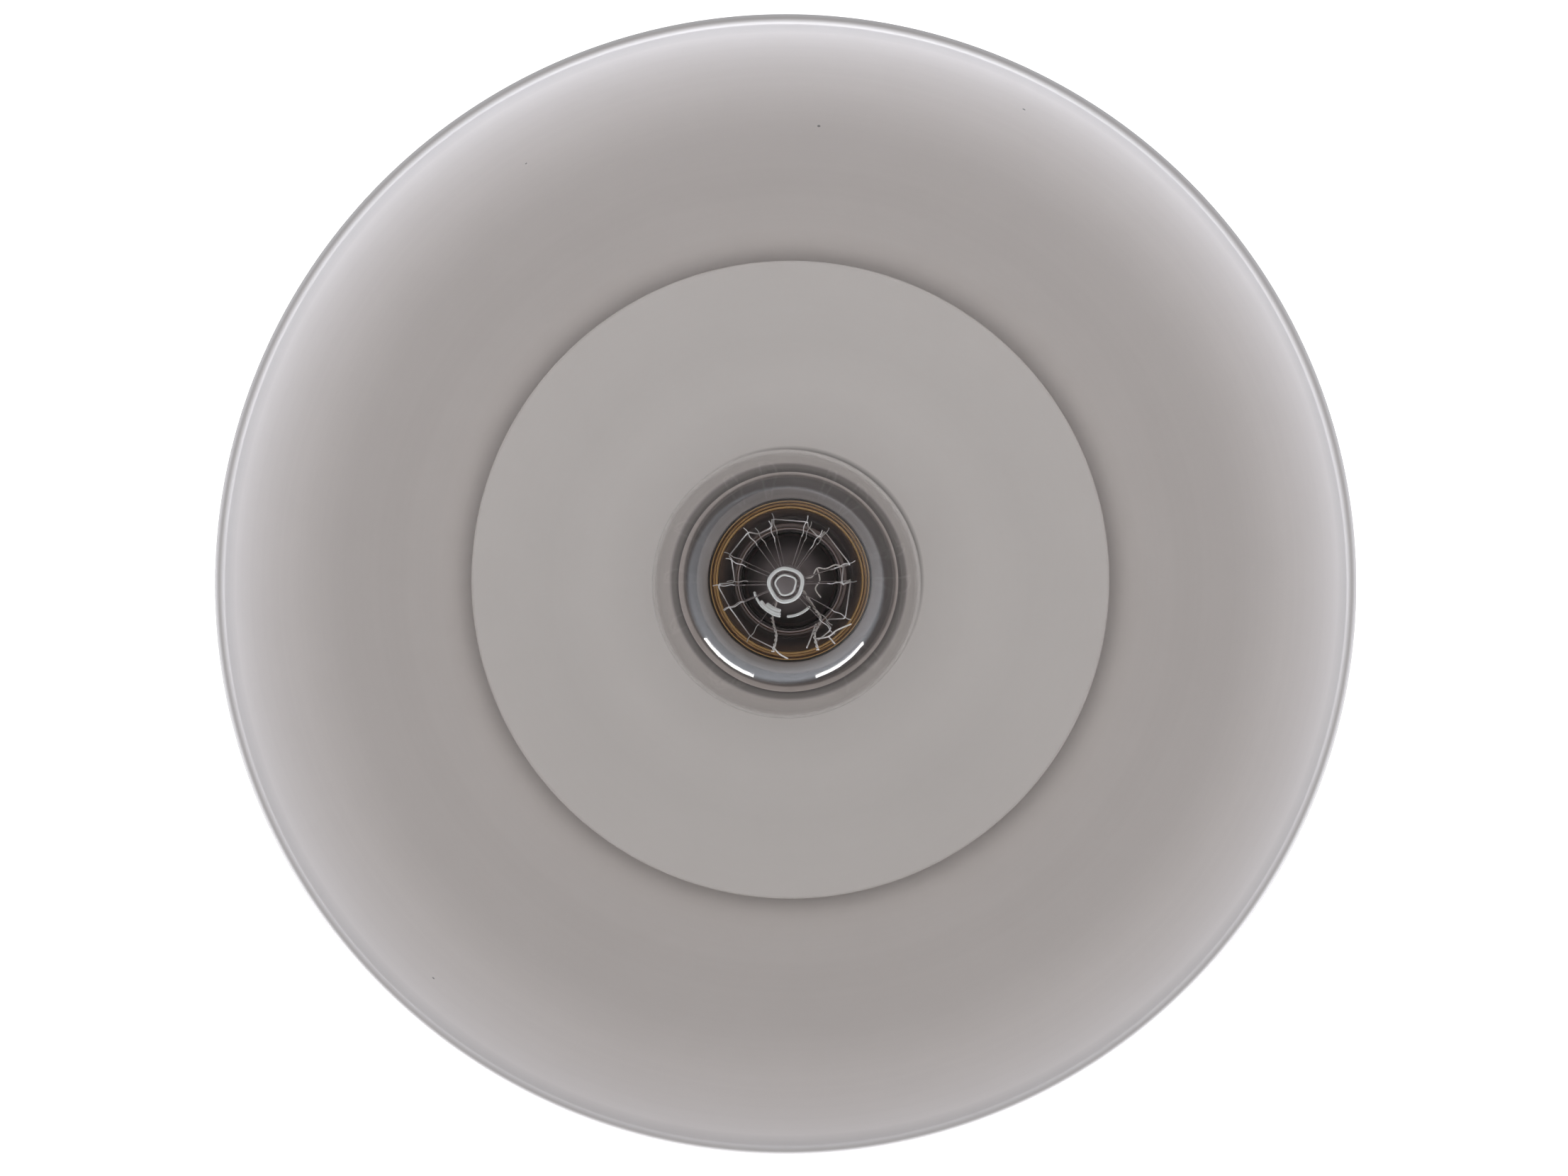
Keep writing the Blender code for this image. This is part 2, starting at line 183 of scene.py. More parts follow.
def add_block(maker, low, high, bevel=0.3):
    """An upright block with every edge bevelled."""
    made = bmesh.ops.create_cube(maker, size=1.0)["verts"]
    for vert in made:
        vert.co.x = (low[0] + (vert.co.x + 0.5) * (high[0] - low[0])) * MM
        vert.co.y = (low[1] + (vert.co.y + 0.5) * (high[1] - low[1])) * MM
        vert.co.z = up(low[2] + (vert.co.z + 0.5) * (high[2] - low[2]))
    edges = {edge for vert in made for edge in vert.link_edges}
    bmesh.ops.bevel(maker, geom=list(edges), offset=bevel * MM, segments=3, affect="EDGES", profile=0.6)


def mesh_object(maker, name, material, sharp=40.0):
    """Closes the mesh maker into an object at the origin, smooth except at sharp edges."""
    bmesh.ops.remove_doubles(maker, verts=maker.verts, dist=1e-7)
    bmesh.ops.recalc_face_normals(maker, faces=maker.faces)
    if maker.calc_volume(signed=True) < 0:
        bmesh.ops.reverse_faces(maker, faces=maker.faces)
    data = bpy.data.meshes.new(name)
    maker.to_mesh(data)
    maker.free()
    data.materials.append(material)
    data.shade_smooth()
    data.set_sharp_from_angle(angle=math.radians(sharp))
    item = bpy.data.objects.new(name, data)
    bpy.context.scene.collection.objects.link(item)
    return item


def put_on(item, body):
    """Puts a finished piece on its moving body."""
    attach(item, body)


def fit_to_frame(item, body):
    """Puts a finished piece on its moving body, in place of the plain solid that it's named after."""
    put_on(item, body)
    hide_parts(item.name.removeprefix("seen_"))
    return item


def lathed(name, profile, steps, material, ripple=None, sharp=40.0):
    """An object turned round Z from a closed profile."""
    maker = bmesh.new()
    add_lathe(maker, profile, steps, ripple)
    return mesh_object(maker, name, material, sharp)


def turned(name, profile, steps, material, body, ripple=None, sharp=40.0):
    """A turned piece that stands for the solid it's named after."""
    return fit_to_frame(lathed(name, profile, steps, material, ripple, sharp), body)


def new_group(name, wanted, given):
    """An empty shader node group with the named values going in and out."""
    tree = bpy.data.node_groups.new(name, "ShaderNodeTree")
    for label, kind, value in wanted:
        socket = tree.interface.new_socket(label, in_out="INPUT", socket_type=kind)
        if value is not None:
            socket.default_value = value
    for label, kind in given:
        tree.interface.new_socket(label, in_out="OUTPUT", socket_type=kind)
    return tree, tree.nodes.new("NodeGroupInput"), tree.nodes.new("NodeGroupOutput")


def maths(tree, operation, first, second=None):
    node = tree.nodes.new("ShaderNodeMath")
    node.operation = operation
    for socket, value in zip(node.inputs, (first, second)):
        if value is None:
            continue
        if isinstance(value, (int, float)):
            socket.default_value = value
        else:
            tree.links.new(value, socket)
    return node.outputs[0]


def mixed(tree, share, first, second, blend="MIX"):
    """Two colours mixed by a share, or blended in another way."""
    node = tree.nodes.new("ShaderNodeMix")
    node.data_type = "RGBA"
    node.blend_type = blend
    tree.links.new(first, node.inputs[6])
    tree.links.new(second, node.inputs[7])
    if isinstance(share, float):
        node.inputs["Factor"].default_value = share
    else:
        tree.links.new(share, node.inputs["Factor"])
    return node.outputs[2]


def place_in(tree):
    """The place on the piece, the same place split into X, Y and Z, and its distance from the axis."""
    place = tree.nodes.new("ShaderNodeTexCoord").outputs["Object"]
    apart = tree.nodes.new("ShaderNodeSeparateXYZ")
    tree.links.new(place, apart.inputs[0])
    x_squared = maths(tree, "POWER", apart.outputs[0], 2.0)
    y_squared = maths(tree, "POWER", apart.outputs[1], 2.0)
    return place, apart, maths(tree, "SQRT", maths(tree, "ADD", x_squared, y_squared))


def fill_ramp(ramp, stops):
    """Sets a colour ramp to stops of a position and a colour. All positions are set before any colour."""
    elements = ramp.color_ramp.elements
    while len(elements) < len(stops):
        elements.new(0.5)
    for element, (position, colour) in zip(elements, stops):
        element.position = position
    for element, (position, colour) in zip(elements, stops):
        element.color = (*colour, 1.0)


def make_surface_group():
    """Turning lines round the axis, clouds and tiny specks, as a colour, a roughness and a normal."""
    wanted = (
        ("Colour", "NodeSocketColor", (0.8, 0.8, 0.8, 1.0)),
        ("Worn Colour", "NodeSocketColor", (0.7, 0.7, 0.7, 1.0)),
        ("Speck Colour", "NodeSocketColor", (0.3, 0.3, 0.3, 1.0)),
        ("Roughness", "NodeSocketFloat", 0.4),
        ("Roughness Spread", "NodeSocketFloat", 0.1),
        ("Cloud Scale", "NodeSocketFloat", 60.0),
        ("Line Scale", "NodeSocketFloat", 900.0),
        ("Line Share", "NodeSocketFloat", 0.3),
        ("Speck Scale", "NodeSocketFloat", 160.0),
        ("Speck Size", "NodeSocketFloat", 0.03),
        ("Relief", "NodeSocketFloat", 0.1),
    )
    given = (("Colour", "NodeSocketColor"), ("Roughness", "NodeSocketFloat"), ("Normal", "NodeSocketVector"))
    tree, entry, leave = new_group("worked_surface", wanted, given)
    place, apart, radius = place_in(tree)
    together = tree.nodes.new("ShaderNodeCombineXYZ")
    tree.links.new(radius, together.inputs[0])
    tree.links.new(apart.outputs[2], together.inputs[1])
    lines = tree.nodes.new("ShaderNodeTexNoise")
    lines.inputs["Detail"].default_value = 2.0
    tree.links.new(together.outputs[0], lines.inputs["Vector"])
    tree.links.new(entry.outputs["Line Scale"], lines.inputs["Scale"])
    cloud = tree.nodes.new("ShaderNodeTexNoise")
    cloud.inputs["Detail"].default_value = 5.0
    cloud.inputs["Roughness"].default_value = 0.62
    tree.links.new(place, cloud.inputs["Vector"])
    tree.links.new(entry.outputs["Cloud Scale"], cloud.inputs["Scale"])
    spots = tree.nodes.new("ShaderNodeTexVoronoi")
    tree.links.new(place, spots.inputs["Vector"])
    tree.links.new(entry.outputs["Speck Scale"], spots.inputs["Scale"])
    chosen = tree.nodes.new("ShaderNodeSeparateXYZ")
    tree.links.new(spots.outputs["Color"], chosen.inputs[0])
    few = maths(tree, "GREATER_THAN", chosen.outputs[0], 0.965)
    size = maths(tree, "MULTIPLY", entry.outputs["Speck Size"], few)
    speck = maths(tree, "LESS_THAN", spots.outputs["Distance"], size)
    share = maths(tree, "MULTIPLY", lines.outputs["Fac"], entry.outputs["Line Share"])
    cloud_share = maths(tree, "SUBTRACT", 1.0, entry.outputs["Line Share"])
    rest = maths(tree, "MULTIPLY", cloud.outputs["Fac"], cloud_share)
    uneven = maths(tree, "ADD", share, rest)
    spread = tree.nodes.new("ShaderNodeMapRange")
    spread.inputs["From Min"].default_value = 0.32
    spread.inputs["From Max"].default_value = 0.68
    tree.links.new(uneven, spread.inputs["Value"])
    base = mixed(tree, spread.outputs[0], entry.outputs["Colour"], entry.outputs["Worn Colour"])
    tree.links.new(mixed(tree, speck, base, entry.outputs["Speck Colour"]), leave.inputs["Colour"])
    change = maths(tree, "MULTIPLY", maths(tree, "SUBTRACT", uneven, 0.5), entry.outputs["Roughness Spread"])
    rough = maths(tree, "ADD", entry.outputs["Roughness"], maths(tree, "MULTIPLY", change, 2.0))
    tree.links.new(rough, leave.inputs["Roughness"])
    bump = tree.nodes.new("ShaderNodeBump")
    bump.inputs["Distance"].default_value = 0.0002
    tree.links.new(entry.outputs["Relief"], bump.inputs["Strength"])
    height = maths(tree, "ADD", uneven, maths(tree, "MULTIPLY", speck, 0.5))
    tree.links.new(height, bump.inputs["Height"])
    tree.links.new(bump.outputs[0], leave.inputs["Normal"])
    return tree


SURFACE = make_surface_group()


def surface(name, colour, worn, metallic=0.0, specular=0.5, coat=0.0, transmission=0.0, ior=1.5, **values):
    """A material that takes its colour, roughness and normal from the worked surface group."""
    material = bpy.data.materials.new(name)
    material.use_nodes = True
    tree = material.node_tree
    shader = tree.nodes["Principled BSDF"]
    group = tree.nodes.new("ShaderNodeGroup")
    group.node_tree = SURFACE
    group.inputs["Colour"].default_value = (*colour, 1.0)
    group.inputs["Worn Colour"].default_value = (*worn, 1.0)
    for key, value in values.items():
        group.inputs[key.replace("_", " ").title()].default_value = value
    tree.links.new(group.outputs["Colour"], shader.inputs["Base Color"])
    tree.links.new(group.outputs["Roughness"], shader.inputs["Roughness"])
    tree.links.new(group.outputs["Normal"], shader.inputs["Normal"])
    shader.inputs["Metallic"].default_value = metallic
    shader.inputs["Specular IOR Level"].default_value = specular
    shader.inputs["Coat Weight"].default_value = coat
    shader.inputs["Transmission Weight"].default_value = transmission
    shader.inputs["IOR"].default_value = ior
    return material


def paint_light_by_radius(material, stops, marked=None):
    """Paints light and shade into a material's colour by distance from the axis, given as radius and share,
    or only where it's marked.
    """
    tree = material.node_tree
    place, apart, radius = place_in(tree)
    ramp = tree.nodes.new("ShaderNodeValToRGB")
    tree.links.new(maths(tree, "MULTIPLY", radius, 1.0 / (SHADE_RADIUS * MM)), ramp.inputs[0])
    fill_ramp(ramp, [(far / SHADE_RADIUS, (share, share * 0.985, share * 0.97)) for far, share in stops])
    amount = 1.0
    if marked:
        mark = tree.nodes.new("ShaderNodeAttribute")
        mark.attribute_name = marked
        amount = mark.outputs["Fac"]
    colour = tree.nodes["Principled BSDF"].inputs["Base Color"]
    toned = mixed(tree, amount, colour.links[0].from_socket, ramp.outputs[0], "MULTIPLY")
    tree.links.new(toned, colour)


SHADE_PAINT = surface(
    "shade_paint", (0.80, 0.775, 0.77), (0.775, 0.75, 0.745), roughness=0.5, roughness_spread=0.08,
    cloud_scale=35.0, line_scale=700.0, line_share=0.35, relief=0.06, speck_scale=150.0, speck_size=0.055)
# Painted light and shade, on the inner side and the bead's underside only: lighter just outside the disc's
# edge against the shade the disc casts on the dome, a little darker in a band further out, lighter again
# towards the rim as if lit from the side, and darker on the underside of the bead.
paint_light_by_radius(SHADE_PAINT, (
    (75.0, 1.16), (79.0, 1.08), (84.0, 0.97), (92.0, 0.92), (104.0, 0.93), (113.0, 1.03), (123.2, 1.08),
    (124.2, 0.76), (125.0, 0.6)), "inside")


def dome_chain():
    """Outer side of the dome from just above the bead to the edge of the flat crown."""
    chain = []
    start = 1.6
    steps = 39
    for step in range(steps + 1):
        angle = math.radians(start + (90.0 - start) * step / steps)
        share = max(math.cos(angle), 0.0) ** (2 / SHADE_POWER)
        radius = SHADE_RADIUS * share
        height = SHADE_HEIGHT * math.sin(angle) ** (2 / SHADE_POWER)
        if radius < CROWN_RADIUS + 1.5:
            break
        chain.append((radius, height))
    return chain + [(CROWN_RADIUS, CROWN_HEIGHT)]


outer = dome_chain()
inner = inwards(outer, WALL)
inner[-1] = (CROWN_RADIUS - 0.3, CROWN_HEIGHT - WALL)
bead = []
BEAD_STEPS = 21
BEAD_START = 165.0
BEAD_SWEEP = 262.0
for step in range(BEAD_STEPS + 1):
    angle = math.radians(BEAD_START + BEAD_SWEEP * step / BEAD_STEPS)
    radius = SHADE_RADIUS - 0.1 + BEAD_RADIUS * math.cos(angle)
    bead.append((radius, BEAD_RADIUS + BEAD_RADIUS * math.sin(angle)))
shade = outer + [(CROWN_HOLE, CROWN_HEIGHT), (CROWN_HOLE, CROWN_HEIGHT - WALL)] + inner[::-1] + bead
dome = turned("seen_shade_dome", shade, 288, SHADE_PAINT, "pendant", sharp=35.0)
MIDDLE_OF_WALL = 0.989  # of the superellipse's sum, which is 1 on the outer side
BEAD_MIDDLE = 1.0
# The inside mark says where the shade paint's painted light and shade go: the inner side of the wall and the
# bead's underside.
inside_mark = dome.data.attributes.new("inside", "FLOAT", "POINT")
for vert, value in zip(dome.data.vertices, inside_mark.data):
    height = max(vert.co.z / MM + TOTAL_HEIGHT, 0.0)
    radius = math.hypot(vert.co.x, vert.co.y) / MM
    oval = (radius / SHADE_RADIUS) ** SHADE_POWER + (height / SHADE_HEIGHT) ** SHADE_POWER
    value.value = 1.0 if oval < MIDDLE_OF_WALL or height < BEAD_MIDDLE else 0.0

# -----------------------------------------------------------------------------------------------------------
# Reflector disc: a flat plate of painted steel that rests on the lower shade ring, level under the crown, and
# hides the hole and the rings above it. Its edge is pressed round and turned up.
# -----------------------------------------------------------------------------------------------------------

DISC_PAINT = surface(
    "disc_paint", (0.815, 0.80, 0.795), (0.795, 0.78, 0.775), roughness=0.55, roughness_spread=0.06,
    cloud_scale=25.0, line_scale=500.0, line_share=0.2, relief=0.05, speck_scale=170.0, speck_size=0.06)
# Painted shadow: the disc is painted much darker in a ring round its bore, as the shade under the bulb and
# the lower ring, and a little darker towards its edge.
paint_light_by_radius(DISC_PAINT, (
    (27.0, 0.12), (28.2, 0.15), (28.7, 0.26), (29.8, 0.31), (30.5, 0.52), (31.1, 1.0), (45.0, 1.0),
    (56.0, 0.94)))
DISC_HOLE = 20.4
DISC_RADIUS = 74.3
DISC_LOW = 66.3
DISC_HIGH = 67.5
HEM_HIGH = 69.5
disc = rounded([
    (DISC_HOLE, DISC_LOW), (DISC_RADIUS, DISC_LOW), (DISC_RADIUS, HEM_HIGH), (DISC_RADIUS - 1.0, HEM_HIGH),
    (DISC_RADIUS - 1.0, DISC_HIGH), (DISC_HOLE, DISC_HIGH)], 0.9, 6)
turned("seen_reflector_disc", disc, 256, DISC_PAINT, "disc", sharp=50.0)

# -----------------------------------------------------------------------------------------------------------
# Shade rings: two moulded rings on the lampholder's thread, with a plain sleeve between them and a fibre
# gasket under the crown. The lower one carries the disc, and has a raised lip and a hub with finger ribs.
# -----------------------------------------------------------------------------------------------------------

RING_PAINT = surface(
    "ring_paint", (0.54, 0.50, 0.485), (0.46, 0.43, 0.415), roughness=0.42, roughness_spread=0.12,
    cloud_scale=120.0, line_scale=1500.0, line_share=0.4, relief=0.08, speck_scale=300.0, speck_size=0.05)
# Painted light and shade by radius: the hub face darkens outwards, the recess between hub and lip is painted
# nearly black as shade, and the lip is painted brighter as if lit.
paint_light_by_radius(RING_PAINT, (
    (19.4, 0.95), (20.4, 0.7), (22.2, 0.62), (22.5, 0.24), (25.2, 0.24), (25.5, 1.35), (27.5, 1.35)))
FIBRE = surface(
    "fibre", (0.30, 0.17, 0.10), (0.20, 0.11, 0.07), roughness=0.9, roughness_spread=0.1,
    cloud_scale=400.0, line_share=0.05, relief=0.6)
RING_BORE = 19.45
HUB_RADIUS = 22.3
RIB_RADIUS = 0.0222  # the ribs are made in metres, because their sizes are inputs of a nodes group


def make_rib_group():
    """Geometry nodes: small upright ribs set out evenly round the axis."""
    tree = bpy.data.node_groups.new("ribs_round_a_ring", "GeometryNodeTree")
    for label, kind, value in (
        ("Count", "NodeSocketInt", 24), ("Radius", "NodeSocketFloat", 0.02),
        ("Height", "NodeSocketFloat", 0.0), ("Rib Width", "NodeSocketFloat", 0.001),
        ("Rib Depth", "NodeSocketFloat", 0.001), ("Rib Length", "NodeSocketFloat", 0.003),
        ("Material", "NodeSocketMaterial", None),
    ):
        socket = tree.interface.new_socket(label, in_out="INPUT", socket_type=kind)
        if value is not None:
            socket.default_value = value
    tree.interface.new_socket("Geometry", in_out="OUTPUT", socket_type="NodeSocketGeometry")
    entry = tree.nodes.new("NodeGroupInput")
    leave = tree.nodes.new("NodeGroupOutput")
    circle = tree.nodes.new("GeometryNodeMeshCircle")
    tree.links.new(entry.outputs["Count"], circle.inputs["Vertices"])
    tree.links.new(entry.outputs["Radius"], circle.inputs["Radius"])
    lift = tree.nodes.new("GeometryNodeTransform")
    rise = tree.nodes.new("ShaderNodeCombineXYZ")
    tree.links.new(entry.outputs["Height"], rise.inputs[2])
    tree.links.new(circle.outputs[0], lift.inputs["Geometry"])
    tree.links.new(rise.outputs[0], lift.inputs["Translation"])
    rib = tree.nodes.new("GeometryNodeMeshCylinder")
    rib.inputs["Vertices"].default_value = 14
    rib.inputs["Radius"].default_value = 0.5
    rib.inputs["Depth"].default_value = 1.0
    scale = tree.nodes.new("ShaderNodeCombineXYZ")
    tree.links.new(entry.outputs["Rib Depth"], scale.inputs[0])
    tree.links.new(entry.outputs["Rib Width"], scale.inputs[1])
    tree.links.new(entry.outputs["Rib Length"], scale.inputs[2])
    sized = tree.nodes.new("GeometryNodeTransform")
    tree.links.new(rib.outputs[0], sized.inputs["Geometry"])
    tree.links.new(scale.outputs[0], sized.inputs["Scale"])
    index = tree.nodes.new("GeometryNodeInputIndex")
    part = maths(tree, "DIVIDE", index.outputs[0], entry.outputs["Count"])
    turn = tree.nodes.new("ShaderNodeCombineXYZ")
    tree.links.new(maths(tree, "MULTIPLY", part, 2 * math.pi), turn.inputs[2])
    spread = tree.nodes.new("GeometryNodeInstanceOnPoints")
    tree.links.new(lift.outputs[0], spread.inputs["Points"])
    tree.links.new(sized.outputs[0], spread.inputs["Instance"])
    tree.links.new(turn.outputs[0], spread.inputs["Rotation"])
    real = tree.nodes.new("GeometryNodeRealizeInstances")
    tree.links.new(spread.outputs[0], real.inputs[0])
    paint = tree.nodes.new("GeometryNodeSetMaterial")
    tree.links.new(real.outputs[0], paint.inputs["Geometry"])
    tree.links.new(entry.outputs["Material"], paint.inputs["Material"])
    smooth = tree.nodes.new("GeometryNodeSetShadeSmooth")
    tree.links.new(paint.outputs[0], smooth.inputs[0])
    tree.links.new(smooth.outputs[0], leave.inputs[0])
    return tree


RIBS = make_rib_group()


def add_ribs(name, body, slot, material, **values):
    """Ribs made by the geometry nodes group, kept as a plain mesh that rides on the body."""
    item = bpy.data.objects.new(name, bpy.data.meshes.new(name))
    bpy.context.scene.collection.objects.link(item)
    modifier = item.modifiers.new("Ribs", "NODES")
    modifier.node_group = RIBS
    values["material"] = material
    for socket in RIBS.interface.items_tree:
        if socket.in_out == "INPUT":
            key = socket.name.lower().replace(" ", "_")
            modifier[socket.identifier] = values[key]
    bpy.context.view_layer.update()
    graph = bpy.context.evaluated_depsgraph_get()
    made = bpy.data.meshes.new_from_object(item.evaluated_get(graph))
    item.modifiers.clear()
    item.data = made
    put_on(item, body)


lower = rounded([
    (RING_BORE, 60.1), (HUB_RADIUS, 60.1), (HUB_RADIUS, 64.0), (25.3, 64.0), (25.7, 62.9), (27.2, 62.9),
    (27.2, 66.0), (RING_BORE, 66.0)], 0.45)
turned("seen_lower_shade_ring", lower, 192, RING_PAINT, "shade_ring")
add_ribs(
    "ring_finger_ribs", "shade_ring", "ring_paint", RING_PAINT, count=36, radius=RIB_RADIUS, height=up(62.3),
    rib_width=0.0016, rib_depth=0.0009, rib_length=0.0030)
sleeve = rounded([(19.6, 67.9), (22.5, 67.9), (22.5, 77.7), (19.6, 77.7)], 0.4)
turned("seen_spacer_sleeve", sleeve, 128, RING_PAINT, "pendant")
upper = rounded([
    (RING_BORE, 78.0), (HUB_RADIUS, 78.0), (HUB_RADIUS, 82.7), (28.0, 82.7), (28.0, 84.7),
    (RING_BORE, 84.7)], 0.5)
turned("seen_upper_shade_ring", upper, 128, RING_PAINT, "pendant")
add_ribs(
    "upper_ring_ribs", "pendant", "ring_paint", RING_PAINT, count=36, radius=RIB_RADIUS, height=up(80.4),
    rib_width=0.0016, rib_depth=0.0009, rib_length=0.0036)
gasket = rounded([(20.6, 85.0), (28.5, 85.0), (28.5, 85.7), (20.6, 85.7)], 0.2)
turned("seen_crown_gasket", gasket, 96, FIBRE, "pendant")

# -----------------------------------------------------------------------------------------------------------
# Lampholder: a lacquered brass skirt with a coarse outer thread and a bright lip at its mouth, and a brass
# cap screwed on above its shoulder. The brown glazed porcelain block inside carries the threaded shell, the
# sprung centre contact and the two terminals.
# -----------------------------------------------------------------------------------------------------------

def thread(pitch, depth, low, high, wanted):
    """A right-handed thread: a change of radius on the wanted profile points, fading out at both ends."""
    def ripple(index, height, angle):
        if index not in wanted:
            return 0.0
        fade = max(0.0, min(1.0, (height - low) / (0.6 * pitch), (high - height) / (0.6 * pitch)))
        wave = math.sin(2 * math.pi * (height / pitch - angle / (2 * math.pi)))
        return depth * fade * (wave + 0.12 * math.sin(3 * math.asin(max(-1.0, min(1.0, wave)))))
    return ripple


def straight(radius, start, length, steps):
    """Evenly spaced points straight up or down an outline, fine enough to carry a thread."""
    return [(radius, start + length * step / steps) for step in range(steps + 1)]


def joined(*stretches):
    """One outline out of stretches of points, and the indices of those that carry a thread."""
    outline = []
    threaded = set()
    for points, is_threaded in stretches:
        if is_threaded:
            threaded.update(range(len(outline), len(outline) + len(points)))
        outline += points
    return outline, threaded


RING_PITCH = 2.5
CAP_PITCH = 3.629
BRASS = surface(
    "holder_brass", (0.66, 0.42, 0.16), (0.45, 0.27, 0.10), metallic=1.0, roughness=0.28,
    roughness_spread=0.2, cloud_scale=150.0, line_scale=2500.0, line_share=0.6, relief=0.15)
PORCELAIN = surface(
    "porcelain", (0.36, 0.23, 0.13), (0.26, 0.16, 0.09), roughness=0.25, roughness_spread=0.1, coat=0.4,
    cloud_scale=180.0, line_share=0.1, relief=0.1)
NICKEL = surface(
    "nickel", (0.62, 0.52, 0.50), (0.46, 0.38, 0.36), metallic=0.5, roughness=0.35, roughness_spread=0.2,
    cloud_scale=220.0, line_scale=2500.0, line_share=0.5, relief=0.12)
CONTACT_BRASS = surface(
    "contact_brass", (0.70, 0.47, 0.20), (0.50, 0.32, 0.14), metallic=1.0, roughness=0.32,
    roughness_spread=0.2, cloud_scale=300.0, line_share=0.2, relief=0.15)
SPRING_STEEL = surface(
    "spring_steel", (0.55, 0.55, 0.56), (0.40, 0.39, 0.39), metallic=1.0, roughness=0.3,
    roughness_spread=0.15, cloud_scale=500.0, line_share=0.1, relief=0.1)
PLATED_STEEL = surface(
    "plated_steel", (0.62, 0.61, 0.58), (0.48, 0.46, 0.42), metallic=1.0, roughness=0.35,
    roughness_spread=0.18, cloud_scale=300.0, line_scale=3000.0, line_share=0.4, relief=0.12)
SKIRT_RADIUS = 19.0
SKIRT_MOUTH = 60.0
THREAD_LOW = 61.4
THREAD_HIGH = 86.6
skirt = rounded([
    (16.95, SKIRT_MOUTH), (17.6, SKIRT_MOUTH), (17.65, 66.5), (18.5, 66.5), (18.6, 60.4),
    (SKIRT_RADIUS, 60.4), (SKIRT_RADIUS, 87.3), (24.0, 87.3), (24.0, 89.3), (17.0, 89.3), (17.2, 61.0)], 0.2)
corner = 0
for index, (radius, height) in enumerate(skirt):
    if abs(radius - SKIRT_RADIUS) < 0.01 and height < THREAD_LOW:
        corner = index + 1
run = straight(SKIRT_RADIUS, THREAD_LOW, THREAD_HIGH - THREAD_LOW, 120)
skirt, threaded = joined((skirt[:corner], False), (run, True), (skirt[corner:], False))
turned(
    "seen_holder_skirt", skirt, 160, BRASS, "pendant",
    ripple=thread(RING_PITCH, 0.3, THREAD_LOW, THREAD_HIGH, threaded), sharp=60.0)
LACQUER = surface(
    "brown_lacquer", (0.80, 0.50, 0.27), (0.56, 0.33, 0.17), roughness=0.6, roughness_spread=0.2,
    cloud_scale=200.0, line_scale=1800.0, line_share=0.6, relief=0.2)
# Painted light: the lining is painted lighter deep inside towards its narrow top, where shade falls, and
# darker towards the mouth.
paint_light_by_radius(LACQUER, ((15.0, 1.0), (16.0, 0.7), (16.5, 0.38), (17.0, 0.3)))
lining = rounded([(16.9, 61.2), (16.95, 61.6), (15.3, 86.0), (15.0, 86.0), (14.7, 85.0), (16.7, 61.2)], 0.1)
put_on(lathed("holder_skirt_lining", lining, 128, LACQUER), "pendant")
cap = rounded([
    (21.0, 89.6), (21.0, 106.0), (17.0, 112.0), (5.2, 113.0), (5.2, 111.6), (16.2, 110.8), (19.8, 105.6),
    (19.8, 89.6)], 0.9)
turned("seen_holder_cap", cap, 128, BRASS, "pendant")
add_ribs(
    "holder_cap_knurl", "pendant", "holder_brass", BRASS, count=60, radius=0.02095, height=up(92.6),
    rib_width=0.0011, rib_depth=0.0007, rib_length=0.0040)
block = rounded([(3.7, 90.0), (17.2, 90.0), (17.2, 99.0), (1.5, 99.0), (1.5, 96.0), (3.7, 96.0)], 0.5)
maker = bmesh.new()
add_lathe(maker, block, 96)
FLAT_FOR_STRAP = -14.3
for vert in maker.verts:
    if vert.co.x < FLAT_FOR_STRAP * MM and abs(vert.co.y) < 2.6 * MM:
        vert.co.x = FLAT_FOR_STRAP * MM
fit_to_frame(mesh_object(maker, "seen_contact_block", PORCELAIN), "pendant")
SHELL_LOW = 64.6
SHELL_LENGTH = 23.0
SHELL_HIGH = 87.6
shell, threaded = joined(
    ([(13.1, 63.5), (13.5, 63.5)], False),
    (straight(13.35, SHELL_LOW, SHELL_LENGTH, 110), True),
    ([(13.5, 89.0), (13.3, 89.6), (6.0, 89.6), (6.0, 89.2), (12.9, 89.0)], False),
    (straight(12.95, SHELL_HIGH, -SHELL_LENGTH, 110), True))
turned(
    "seen_screw_shell", shell, 128, NICKEL, "pendant",
    ripple=thread(CAP_PITCH, 0.45, SHELL_LOW, SHELL_HIGH, threaded), sharp=60.0)
plunger = rounded([(0.0, 88.3), (3.2, 88.3), (3.2, 89.8), (1.1, 89.8), (1.1, 99.6), (0.0, 99.6)], 0.4)
turned("seen_centre_contact", plunger, 64, CONTACT_BRASS, "plunger")
SPRING_RADIUS = 2.3
SPRING_STEPS = 240
STEPS_A_TURN = 52.0
coil = []
for step in range(SPRING_STEPS + 1):
    angle = 2 * math.pi * step / STEPS_A_TURN
    rise = 90.5 + 4.8 * step / SPRING_STEPS
    coil.append((SPRING_RADIUS * math.cos(angle), SPRING_RADIUS * math.sin(angle), rise))
maker = bmesh.new()
add_tube(maker, coil, 0.28)
spring = fit_to_frame(mesh_object(maker, "seen_contact_spring", SPRING_STEEL), "pendant")
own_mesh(spring)
maker = bmesh.new()
add_block(maker, (-15.3, -2.0, 89.9), (-14.7, 2.0, 99.35), 0.12)
add_block(maker, (-15.3, -2.0, 99.3), (-6.6, 2.0, 99.8), 0.12)
fit_to_frame(mesh_object(maker, "seen_shell_strap", CONTACT_BRASS), "pendant")


